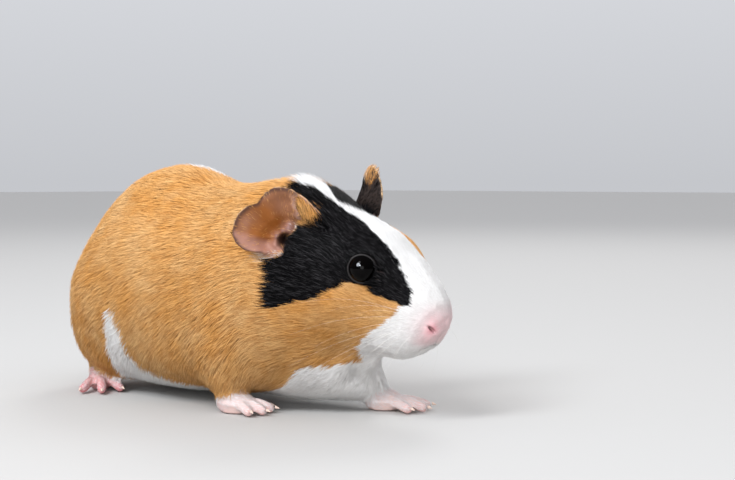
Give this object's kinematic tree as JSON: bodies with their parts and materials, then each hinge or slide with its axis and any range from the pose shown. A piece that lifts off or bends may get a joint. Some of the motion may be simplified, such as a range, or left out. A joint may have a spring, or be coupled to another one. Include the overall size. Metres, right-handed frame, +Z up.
{
  "type": "guinea pig",
  "caption": "Life-size still model of a smooth-coated guinea pig in orange, black and white, standing in mid-step with its head low, for display on a level surface.",
  "frame": {"origin": "middle of the model's box, on the floor under its feet", "axes": "+X forward along the trunk, +Y to the animal's left, +Z up"},
  "size_m": [0.1962, 0.084, 0.0979],
  "materials": {
    "orange_coat": "short smooth fur lying back along the body",
    "black_coat": "short smooth fur, black with a soft sheen",
    "white_coat": "short smooth fur, warm white",
    "foot_skin": "bare pink skin with sparse short white hair",
    "ear_skin": "thin, nearly bare skin, brown-pink with a dark rim",
    "eye": "wet gloss, near black",
    "claw": "translucent pale horn"
  },
  "bodies": {
    "root": {"head": "black_coat", "lower_jaw": "white_coat", "neck": "orange_coat", "trunk": "orange_coat", "hindquarters": "orange_coat", "fore_leg_right": "orange_coat", "fore_leg_left": "white_coat", "hind_leg_right": "orange_coat", "hind_leg_left": "orange_coat", "fore_foot_right": "foot_skin", "fore_foot_left": "foot_skin", "hind_foot_right": "foot_skin", "hind_foot_left": "foot_skin", "ear_right": "ear_skin", "ear_left": "ear_skin", "eye_right": "eye", "eye_left": "eye", "fore_claw_right_1": "claw", "fore_claw_right_2": "claw", "fore_claw_right_3": "claw", "fore_claw_right_4": "claw", "fore_claw_left_1": "claw", "fore_claw_left_2": "claw", "fore_claw_left_3": "claw", "fore_claw_left_4": "claw", "hind_claw_right_1": "claw", "hind_claw_right_2": "claw", "hind_claw_right_3": "claw", "hind_claw_left_1": "claw", "hind_claw_left_2": "claw", "hind_claw_left_3": "claw"}
  },
  "joints": []
}
